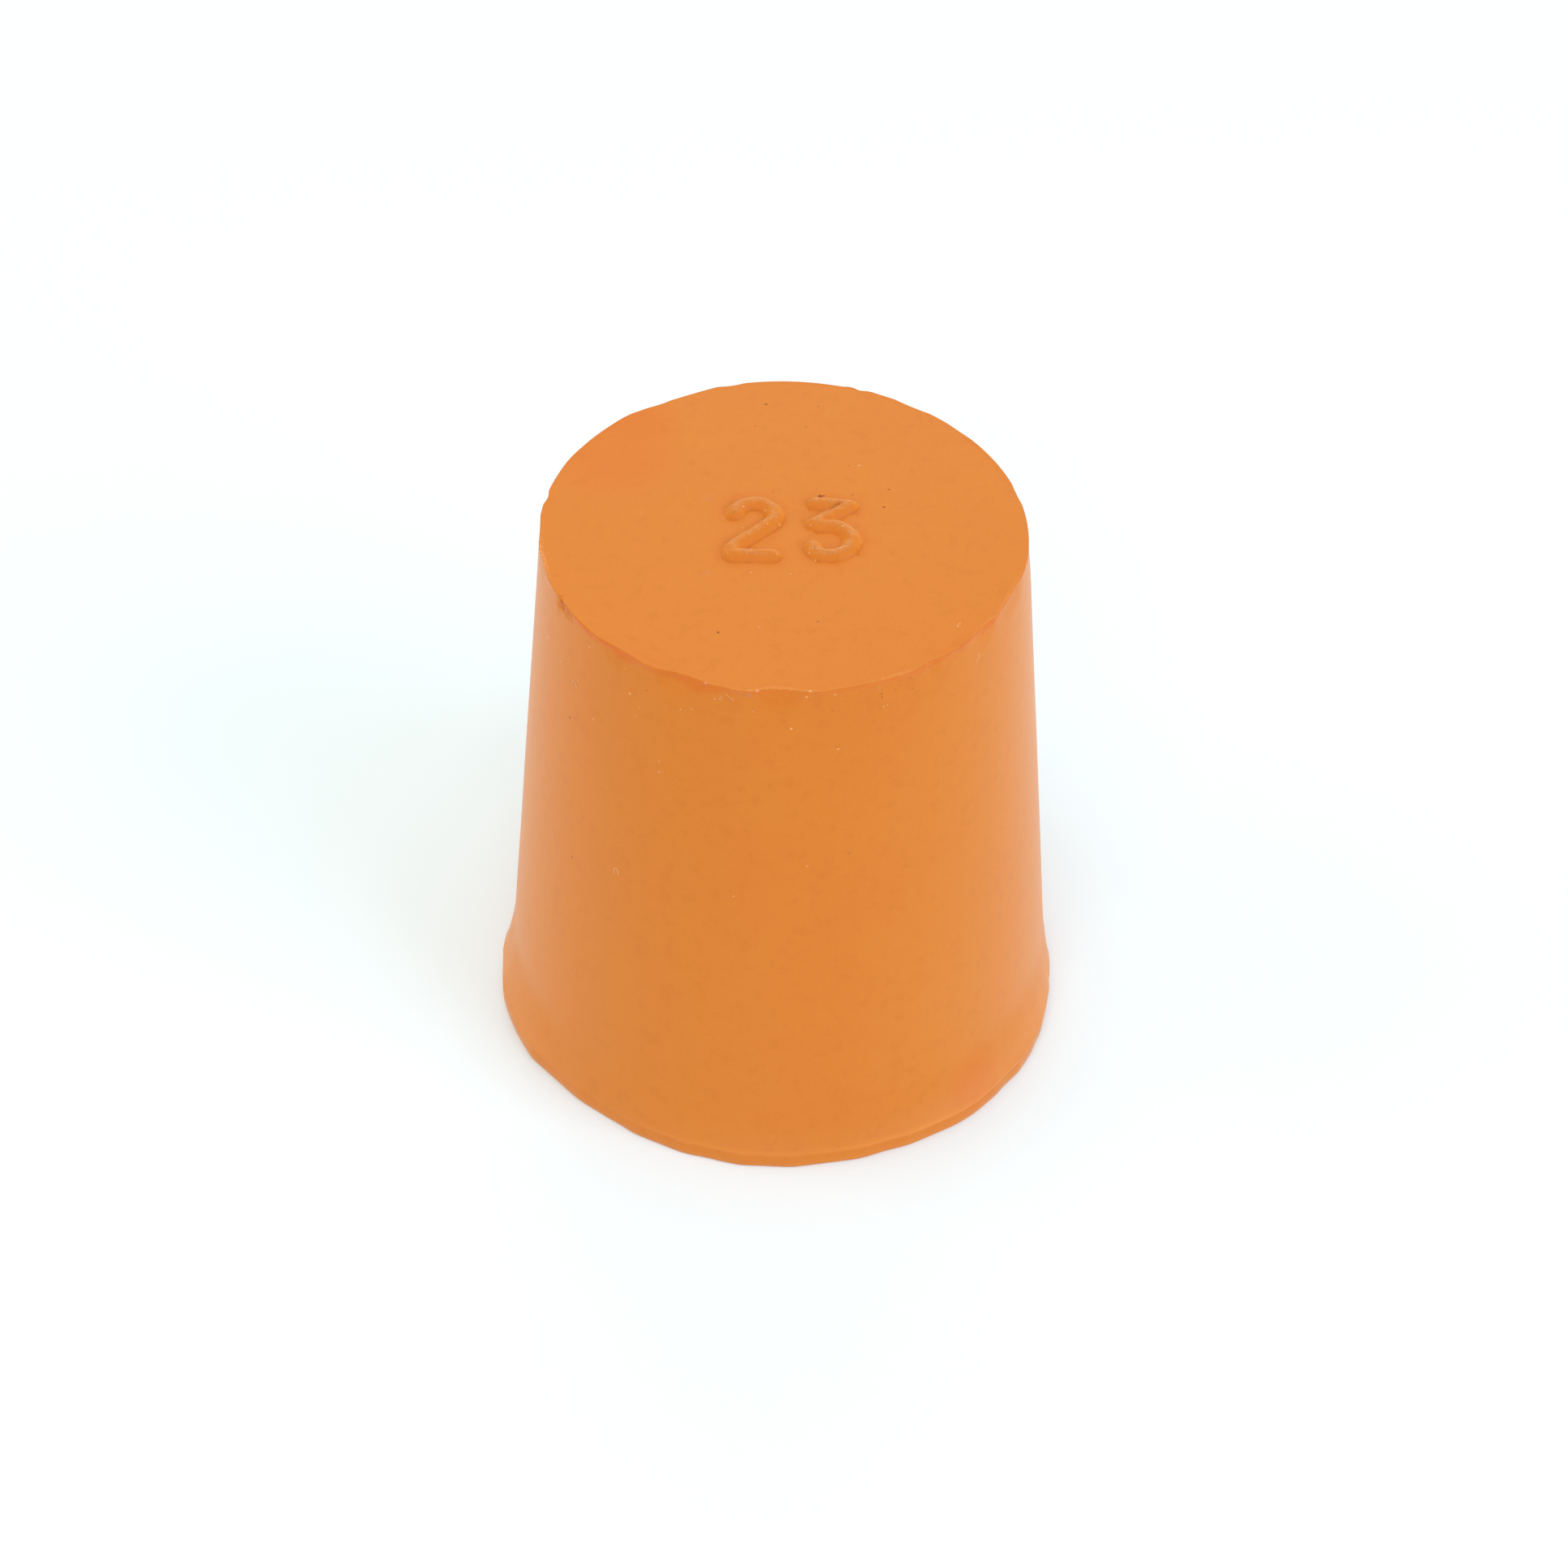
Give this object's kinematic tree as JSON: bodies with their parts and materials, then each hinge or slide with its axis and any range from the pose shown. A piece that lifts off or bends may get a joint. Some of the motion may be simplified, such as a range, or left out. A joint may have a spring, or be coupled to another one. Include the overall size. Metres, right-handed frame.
{
  "type": "rubber stopper",
  "caption": "Solid tapered rubber stopper with a raised size number on its small end and a knife-trimmed flash lip round its wide end.",
  "frame": {"origin": "centre of the flank's circle on the flat wide end, on which it stands", "axes": "+Z along the axis from the wide end to the small end; +Y towards the top of the raised number, +X to its right"},
  "size_m": [0.0298, 0.0296, 0.0304],
  "materials": {
    "rubber": "matt orange natural rubber, as moulded"
  },
  "bodies": {
    "root": {"stopper": "rubber"}
  },
  "joints": []
}
